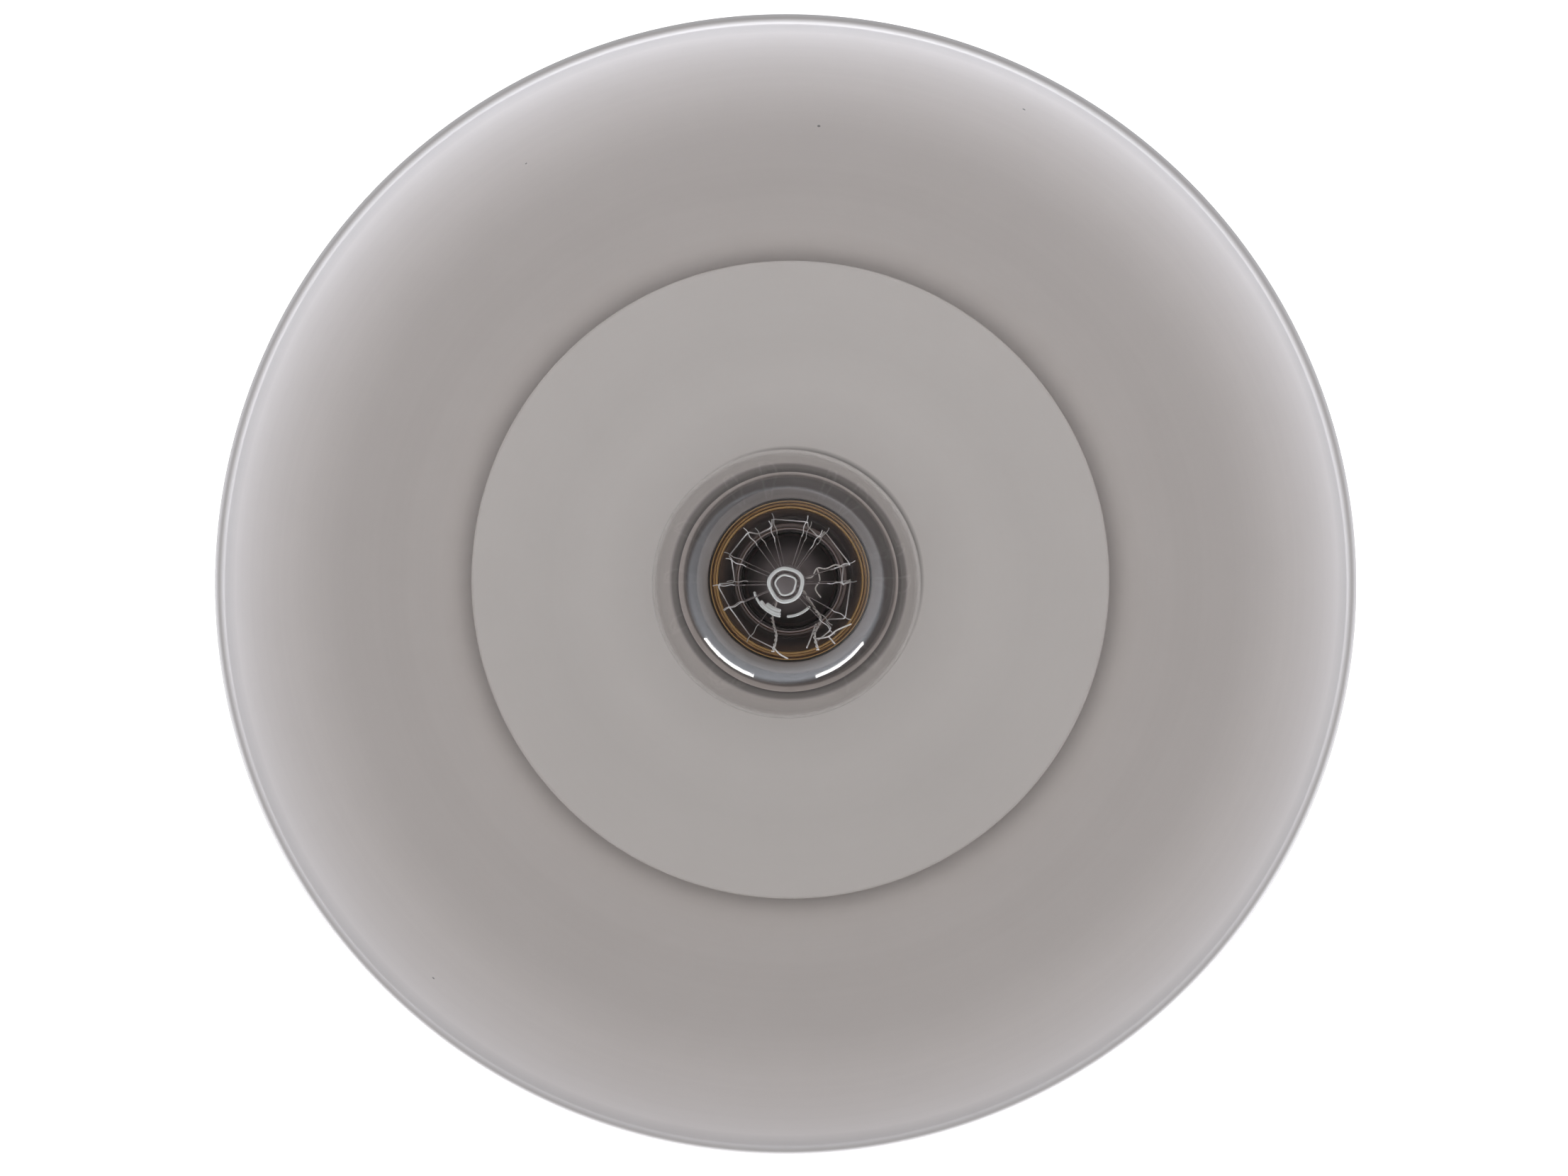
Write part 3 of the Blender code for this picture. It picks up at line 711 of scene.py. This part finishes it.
def cut_away(item, maker):
    """Takes the shape in the mesh maker out of a piece and keeps the result as a plain mesh."""
    tool = mesh_object(maker, "cutting_tool", item.data.materials[0])
    modifier = item.modifiers.new("Cut", "BOOLEAN")
    modifier.operation = "DIFFERENCE"
    modifier.solver = "EXACT"
    modifier.object = tool
    bpy.context.view_layer.update()
    graph = bpy.context.evaluated_depsgraph_get()
    result = bpy.data.meshes.new_from_object(item.evaluated_get(graph))
    item.modifiers.clear()
    item.data = result
    bpy.data.objects.remove(tool, do_unlink=True)


def cut_hole(item, points, radius, sides=24):
    """Cuts a round hole along points out of a piece."""
    maker = bmesh.new()
    add_tube(maker, points, radius, sides)
    cut_away(item, maker)


def cut_slot(item, low, high):
    """Cuts a screwdriver slot out of a screw's head."""
    maker = bmesh.new()
    add_block(maker, low, high, 0.04)
    cut_away(item, maker)


TERMINAL_ASIDE = 9.5
for x, label in ((-TERMINAL_ASIDE, "neutral"), (TERMINAL_ASIDE, "live")):
    maker = bmesh.new()
    add_block(maker, (x - 3.0, -3.5, 100.1), (x + 3.0, 3.5, 105.1), 0.4)
    clamp = mesh_object(maker, "seen_terminal_clamp_" + label, CONTACT_BRASS)
    cut_hole(clamp, ((x, 0.0, 102.0), (x, 0.0, 106.0)), 1.8)
    cut_hole(clamp, ((x, -5.0, 102.2), (x, 5.0, 102.2)), 1.4)
    fit_to_frame(clamp, "pendant")
    screw = rounded([(0.0, 103.9), (1.4, 103.9), (1.4, 105.4), (2.6, 105.4), (2.6, 107.0), (0.0, 107.0)], 0.3)
    maker = bmesh.new()
    add_lathe(maker, screw, 48)
    for vert in maker.verts:
        vert.co.x += x * MM
    item = mesh_object(maker, "seen_terminal_screw_" + label, PLATED_STEEL)
    cut_slot(item, (x - 4.0, -0.35, 106.3), (x + 4.0, 0.35, 108.0))
    fit_to_frame(item, "pendant")

# -----------------------------------------------------------------------------------------------------------
# Top: a threaded nipple holds the lampholder up, locked by a hexagon nut. A painted cup covers the
# lampholder and the wiring, and the gland above it grips the cord with a small screw.
# -----------------------------------------------------------------------------------------------------------

NIPPLE_LOW = 109.6
NIPPLE_HIGH = 140.2
nipple, threaded = joined(
    ([(3.7, 108.8), (4.5, 108.8), (4.75, 109.1)], False),
    (straight(4.8, NIPPLE_LOW, 30.6, 220), True),
    ([(4.75, 140.7), (4.5, 141.0), (3.7, 141.0)], False))
turned(
    "seen_threaded_nipple", nipple, 64, PLATED_STEEL, "pendant",
    ripple=thread(1.0, 0.14, NIPPLE_LOW, NIPPLE_HIGH, threaded), sharp=70.0)
NUT_ACROSS_FLATS = 14.0
corner = NUT_ACROSS_FLATS / math.sqrt(3) * MM
maker = bmesh.new()
bmesh.ops.create_cone(maker, cap_ends=True, segments=6, radius1=corner, radius2=corner, depth=2.8 * MM)
for vert in maker.verts:
    vert.co.z += up(109.6)
bmesh.ops.bevel(maker, geom=list(maker.edges), offset=0.25 * MM, segments=3, affect="EDGES", profile=0.6)
nut = mesh_object(maker, "seen_lock_nut", PLATED_STEEL)
cut_hole(nut, ((0.0, 0.0, 106.0), (0.0, 0.0, 113.0)), 5.15, 48)
fit_to_frame(nut, "pendant")
cup_outer = smooth_chain([
    (29.0, 88.2), (29.0, 104.0), (29.0, 116.0), (28.9, 121.0), (28.2, 125.6), (25.6, 130.2), (21.0, 133.2),
    (14.0, 134.6), (6.2, 135.0)], 8)
cup_inner = inwards(cup_outer, 1.0)
cup = [(28.8, 87.5)] + cup_outer + [(5.3, 134.9), (5.2, 134.1)] + cup_inner[::-1] + [(28.2, 87.5)]
turned("seen_cover_cup", cup, 192, SHADE_PAINT, "pendant", sharp=60.0)
gland = rounded([
    (5.15, 135.3), (9.0, 135.3), (9.0, 140.0), (8.5, 140.5), (8.5, 142.0), (9.0, 142.5), (9.0, 151.2),
    (8.4, 152.0), (3.9, 152.0), (3.6, 151.6), (3.6, 141.5), (5.15, 141.4)], 0.35)
GLAND_SCREW = 147.0
item = lathed("seen_cord_gland", gland, 96, SHADE_PAINT)
cut_hole(item, ((2.0, 0.0, GLAND_SCREW), (12.0, 0.0, GLAND_SCREW)), 1.8)
fit_to_frame(item, "pendant")
screw = rounded([(0.0, 4.0), (1.5, 4.0), (1.5, 8.9), (0.0, 8.9)], 0.25)
maker = bmesh.new()
add_lathe(maker, screw, 40)
for vert in maker.verts:
    x, y, z = vert.co
    vert.co = (z - up(0.0), y, up(GLAND_SCREW) - x)
item = mesh_object(maker, "seen_gland_screw", PLATED_STEEL)
cut_slot(item, (8.2, -2.0, GLAND_SCREW - 0.3), (10.0, 2.0, GLAND_SCREW + 0.3))
fit_to_frame(item, "pendant")

# -----------------------------------------------------------------------------------------------------------
# Bulb: a thin clear blown envelope, its screw cap with a dark glass insulator and a solder contact, and the
# glass stem inside, which flares into the neck and ends low down in a pressed button.
# -----------------------------------------------------------------------------------------------------------

CLEAR_GLASS = surface(
    "clear_glass", (0.91, 0.90, 0.895), (0.88, 0.87, 0.865), transmission=1.0, ior=1.47, roughness=0.004,
    roughness_spread=0.006, cloud_scale=20.0, line_share=0.0, relief=0.02, speck_size=0.0)
glass_shader = CLEAR_GLASS.node_tree.nodes["Principled BSDF"]
glass_shader.inputs["Specular Tint"].default_value = (0.17, 0.165, 0.16, 1.0)
STEM_GLASS = surface(
    "stem_glass", (0.84, 0.77, 0.78), (0.76, 0.69, 0.70), transmission=0.6, ior=1.47, roughness=0.05,
    roughness_spread=0.04, cloud_scale=150.0, line_share=0.0, relief=0.1)
# White, partly clear glass used only for painted highlights on the stem and the button of the clear bulb.
PAINTED_HIGHLIGHT_GLASS = surface(
    "milky_glass", (0.93, 0.95, 0.93), (0.88, 0.91, 0.88), transmission=0.25, ior=1.5, roughness=0.12,
    roughness_spread=0.05, cloud_scale=400.0, line_share=0.0, relief=0.1)
CAP_BRASS = surface(
    "cap_brass", (0.76, 0.65, 0.65), (0.60, 0.50, 0.50), metallic=0.3, roughness=0.42, roughness_spread=0.25,
    cloud_scale=200.0, line_scale=2200.0, line_share=0.5, relief=0.15)
BLACK_GLASS = surface(
    "black_glass", (0.30, 0.24, 0.25), (0.20, 0.155, 0.16), roughness=0.12, roughness_spread=0.1,
    cloud_scale=300.0, line_share=0.0, relief=0.05)
SOLDER = surface(
    "solder", (0.52, 0.52, 0.50), (0.36, 0.36, 0.35), metallic=1.0, roughness=0.42, roughness_spread=0.2,
    cloud_scale=500.0, line_share=0.0, relief=0.5)
GLOBE_RADIUS = 30.0
GLOBE_MIDDLE = 13.0
GLASS_WALL = 0.7
outside = [(0.0, GLOBE_MIDDLE - GLOBE_RADIUS)]
for degrees in range(-86, 31, 4):
    angle = math.radians(degrees)
    outside.append((GLOBE_RADIUS * math.cos(angle), GLOBE_MIDDLE + GLOBE_RADIUS * math.sin(angle)))
neck = smooth_chain([
    outside[-1], (22.6, 33.6), (19.6, 39.0), (17.2, 44.2), (15.4, 49.2), (14.1, 54.0), (13.3, 57.6),
    (12.9, 59.4), (12.0, 60.8), (11.7, 62.4), (11.6, 68.0), (11.6, 74.0)], 5)
outside = outside[:-1] + neck
inside = inwards(outside, GLASS_WALL)
inside[0] = (0.0, GLOBE_MIDDLE - GLOBE_RADIUS + GLASS_WALL)
turned("seen_bulb_envelope", outside + inside[::-1], 192, CLEAR_GLASS, "bulb", sharp=70.0)
CAP_LOW = 62.6
CAP_LENGTH = 16.4
CAP_HIGH = 79.0
cap_shell, threaded = joined(
    ([(12.3, 61.0), (12.85, 61.0), (12.95, 61.5), (12.75, 62.3)], False),
    (straight(12.65, CAP_LOW, CAP_LENGTH, 90), True),
    ([(12.4, 79.9), (8.3, 82.0), (8.1, 81.8), (8.2, 81.4), (12.1, 79.3)], False),
    (straight(12.2, CAP_HIGH, -CAP_LENGTH, 90), True),
    ([(12.3, 62.3)], False))
turned(
    "seen_bulb_cap_shell", cap_shell, 128, CAP_BRASS, "bulb",
    ripple=thread(CAP_PITCH, 0.42, CAP_LOW, CAP_HIGH, threaded), sharp=60.0)
insulator = rounded([(1.0, 80.8), (7.9, 80.8), (7.9, 82.6), (4.8, 86.4), (1.0, 86.4)], 0.5)
turned("seen_bulb_cap_insulator", insulator, 64, BLACK_GLASS, "bulb")
tip = smooth_chain([(4.4, 86.7), (4.35, 87.1), (3.6, 87.55), (2.0, 87.9), (0.0, 88.0)], 5)
turned("seen_bulb_tip_contact", [(0.0, 86.7)] + tip, 64, SOLDER, "bulb_carriage")
stem_out = smooth_chain([
    (2.0, 6.4), (2.0, 20.0), (2.0, 36.0), (2.05, 47.0), (2.3, 50.0), (3.3, 52.4), (3.5, 56.0), (5.0, 61.0),
    (8.0, 66.5), (10.4, 72.0)], 6)
stem_in = smooth_chain([(9.7, 72.0), (7.3, 66.8), (4.2, 61.3), (1.6, 57.4), (0.0, 57.0)], 6)
stem = [(0.0, 6.1), (1.7, 6.15)] + stem_out + stem_in
turned("seen_bulb_stem", stem, 96, STEM_GLASS, "bulb", sharp=70.0)
button = smooth_chain([
    (0.0, 2.9), (1.0, 2.7), (1.9, 2.7), (2.5, 3.3), (3.1, 2.9), (3.8, 3.3), (4.0, 4.2), (3.5, 5.2),
    (2.2, 5.75), (0.0, 5.8)], 6)
turned("seen_bulb_button", button, 96, CLEAR_GLASS, "bulb", sharp=70.0)


def uneven_rim(index, height, angle):
    """The slightly wavy edge of glass that was pressed while it was soft."""
    return 0.14 * math.sin(3 * angle) + 0.08 * math.sin(5 * angle + 1.0)


# Painted highlights: two thin rings of white glass on the clear button stand for the bright rings of light in
# it.
for radius, height, thickness in ((3.65, 3.0, 0.42), (2.2, 2.7, 0.2)):
    rim = []
    for step in range(20):
        angle = 2 * math.pi * step / 20
        rim.append((radius + thickness * math.cos(angle), height + thickness * math.sin(angle)))
    put_on(lathed("button_rim", rim, 96, PAINTED_HIGHLIGHT_GLASS, uneven_rim), "bulb")
# Painted highlights: short bows of white glass on two sides of the stem stand for reflections of the two soft
# boxes on the clear glass.
HIGHLIGHT_HEIGHT = 9.6
BOW_STEPS = 16
HIGHLIGHT_BOWS = (  # start and end in degrees, radius and half thickness
    (281.0, 346.0, 7.3, 0.28), (282.0, 326.0, 6.8, 0.42), (283.0, 314.0, 6.1, 0.45),
    (224.0, 268.0, 7.2, 0.32))
maker = bmesh.new()
for start, end, radius, thickness in HIGHLIGHT_BOWS:
    bow = []
    for step in range(BOW_STEPS + 1):
        angle = math.radians(start + (end - start) * step / BOW_STEPS)
        bow.append((radius * math.cos(angle), radius * math.sin(angle), HIGHLIGHT_HEIGHT))
    add_tube(maker, bow, thickness, 16)
put_on(mesh_object(maker, "stem_flange", PAINTED_HIGHLIGHT_GLASS), "bulb")

# -----------------------------------------------------------------------------------------------------------
# Filament cage: one thin wire that runs up and down between two wheels of support wires on the stem. Each
# support ends in a small hook at a turn of the filament, and two stiff twisted leads carry its ends.
# -----------------------------------------------------------------------------------------------------------

FILAMENT_WIRE = surface(
    "carbon", (0.80, 0.78, 0.77), (0.70, 0.68, 0.67), metallic=0.3, roughness=0.5, roughness_spread=0.15,
    cloud_scale=600.0, line_share=0.0, relief=0.2)
SUPPORT_WIRE = surface(
    "support_wire", (0.26, 0.23, 0.23), (0.18, 0.16, 0.16), metallic=0.8, roughness=0.4, roughness_spread=0.2,
    cloud_scale=700.0, line_share=0.0, relief=0.2)
LEAD_WIRE = surface(
    "lead_wire", (0.95, 0.93, 0.90), (0.86, 0.83, 0.80), metallic=0.4, roughness=0.3, roughness_spread=0.2,
    cloud_scale=400.0, line_share=0.0, relief=0.3)
FILAMENT_LOW = 6.5
FILAMENT_HIGH = 40.5
TURN_RADIUS = 0.4
CAGE_TURNS = (  # X and Y of the wire's turns, low and high by turns
    (2.9, -14.0), (8.7, -12.5), (12.4, -5.2), (13.6, -5.8), (14.8, -0.3), (12.6, 0.1), (12.0, 5.2),
    (13.4, 6.2), (8.5, 11.3), (6.8, 11.1), (3.4, 12.6), (3.4, 14.3), (-4.4, 13.8), (-4.8, 12.4), (-7.2, 10.7),
    (-8.5, 11.2), (-13.9, 4.7), (-12.7, 3.7), (-12.5, 0.3), (-14.2, 0.1), (-13.0, -7.2), (-9.0, -8.9),
    (-9.7, -10.0), (-6.8, -13.5))
points = []
last = len(CAGE_TURNS) - 1
for index, (x, y) in enumerate(CAGE_TURNS):
    before = CAGE_TURNS[max(index - 1, 0)]
    after = CAGE_TURNS[min(index + 1, last)]
    along = Vector((after[0] - before[0], after[1] - before[1])).normalized() * TURN_RADIUS
    low = index % 2 == 0
    height = FILAMENT_LOW if low else FILAMENT_HIGH
    outward = -TURN_RADIUS if low else TURN_RADIUS
    if index in (0, last):
        points.append((x, y, height))
        continue
    for step in range(9):
        angle = math.pi * (1 - step / 8)
        share = math.cos(angle)
        points.append((x + along.x * share, y + along.y * share, height + outward * math.sin(angle)))
maker = bmesh.new()
add_tube(maker, points, 0.15, 8)
fit_to_frame(mesh_object(maker, "seen_filament", FILAMENT_WIRE), "bulb")
for node, height, first in (("lower_supports", 8.5, 2), ("upper_supports", 38.5, 1)):
    maker = bmesh.new()
    hub = rounded([(2.4, height), (3.3, height), (3.3, height + 0.8), (2.4, height + 0.8)], 0.2)
    add_lathe(maker, hub, 48)
    middle = height + 0.4
    tips = bmesh.new()
    for x, y in CAGE_TURNS[first:-1:2]:
        reach = math.hypot(x, y)
        ray = Vector((x, y)) / reach
        start = reach - 3.4
        spoke = [(ray.x * far, ray.y * far, middle) for far in (3.0, 0.5 * start + 1.5, start)]
        add_tube(maker, spoke, 0.11, 8)
        hook = []
        for step in range(15):
            far = start + (reach + 1.5 - start) * step / 14
            bend = 0.15 * math.sin(step * 0.7)
            hook.append((ray.x * far - ray.y * bend, ray.y * far + ray.x * bend, middle))
        add_tube(tips, hook, 0.1, 8)
    fit_to_frame(mesh_object(maker, "seen_" + node, SUPPORT_WIRE), "bulb")
    put_on(mesh_object(tips, node + "_hooks", FILAMENT_WIRE), "bulb")
LEADS = {  # from the stem down to the ends of the filament
    "lead_wire_a": (
        (2.4, -2.9, 49.0), (3.0, -5.2, 42.0), (3.6, -8.2, 34.0), (2.4, -11.6, 16.0), (2.9, -14.8, 5.5)),
    "lead_wire_b": (
        (-3.2, -2.2, 49.0), (-6.0, -6.3, 42.0), (-7.4, -8.6, 34.0), (-6.2, -11.2, 16.0), (-7.0, -14.4, 5.5)),
}
TAILS = {  # loose ends and a stray piece of wire
    "lead_wire_a": (((2.9, -13.8, 7.0), (1.4, -15.4, 6.2), (-0.4, -16.4, 6.0)),),
    "lead_wire_b": (
        ((-2.6, 1.2, 40.0), (-5.2, 1.0, 39.5), (-6.6, 3.1, 39.2), (-8.6, 3.0, 39.0), (-10.8, 3.9, 38.6),
         (-12.4, 3.4, 38.4)),
        ((-6.6, 3.0, 39.2), (-7.2, 0.4, 39.4), (-6.2, -1.6, 40.0), (-7.4, -3.6, 41.0)),
        ((-6.6, -12.2, 12.0), (-9.4, -11.6, 9.0), (-11.2, -10.2, 8.0), (-14.4, -8.8, 7.4)),
        ((-9.4, -11.6, 9.0), (-10.8, -13.2, 8.2)),
        ((-6.4, -9.4, 26.0), (-5.2, -12.6, 12.0), (-4.6, -14.0, 8.0))),
}
for node, path in LEADS.items():
    maker = bmesh.new()
    middle_line = [Vector(point) for point in smooth_chain(path, 30)]
    for strand in (0.0, math.pi):
        wound = []
        for index, point in enumerate(middle_line):
            angle = strand + index * 0.42
            wound.append((point.x + 0.2 * math.cos(angle), point.y + 0.2 * math.sin(angle), point.z))
        add_tube(maker, wound, 0.16, 8)
    for tail in TAILS[node]:
        add_tube(maker, smooth_chain(tail, 8), 0.17, 8)
    fit_to_frame(mesh_object(maker, "seen_" + node, LEAD_WIRE), "bulb")

# -----------------------------------------------------------------------------------------------------------
# Studio: a pale floor well below the hanging lamp, a surround that is bright near the horizon, two low soft
# boxes level with the rim, and a camera underneath that looks up into the shade.
# -----------------------------------------------------------------------------------------------------------

FLOOR_HALF = 2.5
FLOOR_HEIGHT = -2.2
maker = bmesh.new()
for x, y in ((-1, -1), (1, -1), (1, 1), (-1, 1)):
    maker.verts.new((x * FLOOR_HALF, y * FLOOR_HALF, FLOOR_HEIGHT))
maker.verts.ensure_lookup_table()
maker.faces.new(maker.verts[:])
data = bpy.data.meshes.new("floor")
maker.to_mesh(data)
maker.free()
FLOOR_PAINT = surface(
    "floor_paint", (0.83, 0.81, 0.795), (0.80, 0.78, 0.765), roughness=0.8, cloud_scale=3.0, line_share=0.0,
    relief=0.05)
data.materials.append(FLOOR_PAINT)
floor = bpy.data.objects.new("floor", data)
bpy.context.scene.collection.objects.link(floor)

world = bpy.data.worlds.new("studio")
bpy.context.scene.world = world
bpy.context.scene.view_settings.view_transform = "Standard"
world.use_nodes = True
tree = world.node_tree
direction = tree.nodes.new("ShaderNodeTexCoord")
apart = tree.nodes.new("ShaderNodeSeparateXYZ")
tree.links.new(direction.outputs["Generated"], apart.inputs[0])
ramp = tree.nodes.new("ShaderNodeValToRGB")
SKY = (  # height on the sphere round the scene, strength of the light and its tint
    (-1.0, 0.43, (1.04, 1.0, 0.98)), (-0.7, 0.43, (1.04, 1.0, 0.98)), (-0.5, 0.5, (1.03, 1.0, 0.99)),
    (-0.34, 0.6, (1.0, 1.0, 1.01)), (-0.23, 3.0, (0.94, 1.0, 1.10)), (-0.12, 3.7, (0.93, 1.0, 1.12)),
    (0.0, 3.7, (0.93, 1.0, 1.12)), (0.12, 0.42, (1.0, 1.0, 1.0)), (0.88, 0.42, (1.0, 1.0, 1.0)),
    (0.97, 1.3, (1.0, 1.0, 1.0)), (1.0, 1.3, (1.0, 1.0, 1.0)))
fill_ramp(ramp, [
    ((height + 1) / 2, tuple(strength * part for part in tint)) for height, strength, tint in SKY])
tree.links.new(maths(tree, "MULTIPLY", maths(tree, "ADD", apart.outputs[2], 1.0), 0.5), ramp.inputs[0])
tree.links.new(ramp.outputs[0], tree.nodes["Background"].inputs["Color"])
level = tree.nodes.new("ShaderNodeMapRange")
level.inputs["From Min"].default_value = -0.45
level.inputs["From Max"].default_value = -0.15
tree.links.new(apart.outputs[2], level.inputs["Value"])
below = maths(tree, "MULTIPLY", level.outputs[0], maths(tree, "LESS_THAN", apart.outputs[2], 0.02))
slope = maths(tree, "MULTIPLY", apart.outputs[1], maths(tree, "MULTIPLY", below, -0.7))
nearer = maths(tree, "ADD", 1.0, slope)
tree.links.new(nearer, tree.nodes["Background"].inputs["Strength"])


def soft_box(name, image_angle, distance, width, height, low, power):
    """A tall soft box that faces the lamp, its lower edge a little below the rim."""
    light = bpy.data.lights.new(name, "AREA")
    light.shape = "RECTANGLE"
    light.size = width
    light.size_y = height
    light.energy = power
    item = bpy.data.objects.new(name, light)
    bpy.context.scene.collection.objects.link(item)
    angle = math.radians(image_angle)
    place = Vector((-math.cos(angle) * distance, math.sin(angle) * distance, up(0.0) + low + height / 2))
    item.location = place
    facing = Vector((-place.x, -place.y, 0.0))
    item.rotation_euler = facing.to_track_quat("-Z", "Y").to_euler()


soft_box("soft_box_left", 232.0, 1.5, 1.0, 0.09, -0.03, 18.0)
soft_box("soft_box_right", 305.0, 1.5, 0.95, 0.09, -0.03, 17.0)

CAMERA_DISTANCE = 1.2
CAMERA_ASIDE = (0.020, 0.022)
SENSOR_WIDTH = 36.0
FOCAL_LENGTH = 124.921
AIM = (0.000995, 0.001944)  # lens shift past the lamp's axis, in shares of the sensor's width
lens = bpy.data.cameras.new("camera")
lens.sensor_width = SENSOR_WIDTH
lens.lens = FOCAL_LENGTH
camera = bpy.data.objects.new("camera", lens)
bpy.context.scene.collection.objects.link(camera)
camera.location = (-CAMERA_ASIDE[0], CAMERA_ASIDE[1], up(0.0) - CAMERA_DISTANCE)
camera.rotation_euler = (0.0, math.pi, 0.0)
widths_per_metre = FOCAL_LENGTH / SENSOR_WIDTH / CAMERA_DISTANCE
lens.shift_x = -(CAMERA_ASIDE[0] * widths_per_metre + AIM[0])
lens.shift_y = -(CAMERA_ASIDE[1] * widths_per_metre + AIM[1])
lens.clip_start = 0.05
lens.clip_end = 50.0
bpy.context.scene.camera = camera
